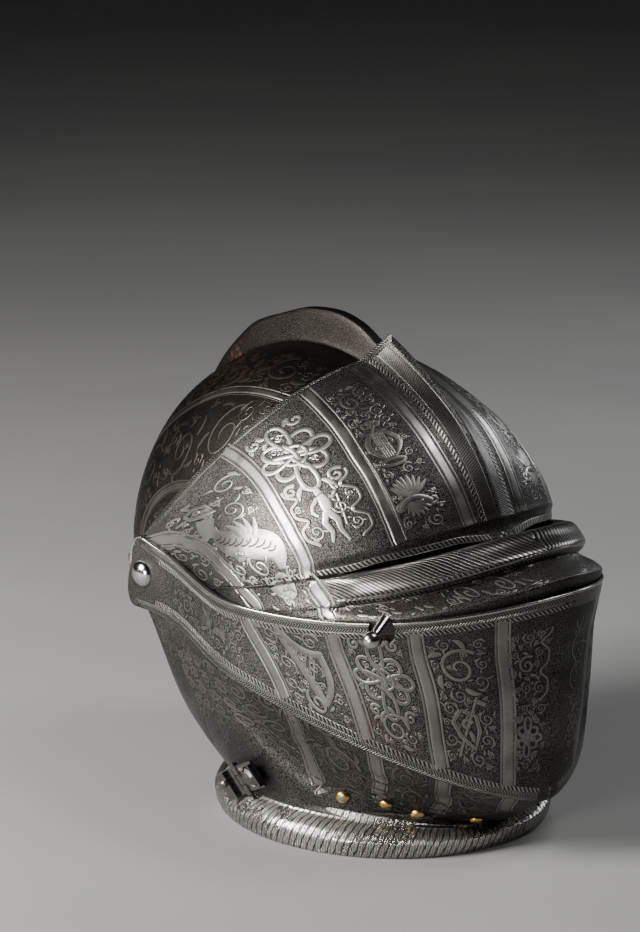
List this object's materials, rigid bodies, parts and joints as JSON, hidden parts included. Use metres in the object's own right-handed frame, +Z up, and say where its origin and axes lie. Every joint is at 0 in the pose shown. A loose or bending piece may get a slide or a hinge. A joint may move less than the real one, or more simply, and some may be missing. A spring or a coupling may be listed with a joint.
{
  "type": "armet",
  "caption": "Close helmet of etched dark steel with a combed skull, keeled visor with slit sights, hinged bevors, roped collar and neck latch.",
  "frame": {"origin": "middle of the helmet's box, on the floor the collar stands on", "axes": "+Z up, the face looks along -Y, the wearer's right is -X"},
  "size_m": [0.219, 0.3123, 0.2835],
  "materials": {
    "dark_steel": "blackened steel with fine etching and russet patches, worn bright on the comb",
    "etched_steel": "dark grey steel etched all over, with plain bright bands and a blackened grained ground",
    "bright_steel": "polished plain steel with small scratches",
    "brass": "worn brass over steel rivet heads"
  },
  "bodies": {
    "skull": {"skull": "dark_steel", "pivot_rivet_right": "bright_steel", "pivot_rivet_left": "bright_steel"},
    "lower_bevor": {"lower_bevor": "etched_steel", "latch_plate": "bright_steel", "latch_pin": "bright_steel", "lining_rivet_right_1": "brass", "lining_rivet_right_2": "brass", "lining_rivet_right_3": "brass", "lining_rivet_right_4": "brass", "lining_rivet_left_1": "brass", "lining_rivet_left_2": "brass", "lining_rivet_left_3": "brass", "lining_rivet_left_4": "brass"},
    "upper_bevor": {"upper_bevor": "etched_steel"},
    "visor": {"visor": "etched_steel", "lifting_peg": "etched_steel"},
    "hasp": {"latch_hasp": "bright_steel"}
  },
  "joints": [
    {"name": "lower_bevor_hinge", "type": "hinge", "parent": "skull", "child": "lower_bevor", "pos_m": [0, 0.0927, 0.133], "axis": [-1, 0, 0], "range_deg": [0, 38]},
    {"name": "upper_bevor_hinge", "type": "hinge", "parent": "lower_bevor", "child": "upper_bevor", "pos_m": [0, 0.0927, 0.133], "axis": [-1, 0, 0], "range_deg": [0, 30]},
    {"name": "visor_hinge", "type": "hinge", "parent": "upper_bevor", "child": "visor", "pos_m": [0, 0.0927, 0.133], "axis": [-1, 0, 0], "range_deg": [0, 40]},
    {"name": "hasp_hinge", "type": "hinge", "parent": "lower_bevor", "child": "hasp", "pos_m": [-0.0904, 0.0107, 0.0294], "axis": [0.2803, -0.4806, -0.831], "range_deg": [0, 100]}
  ]
}
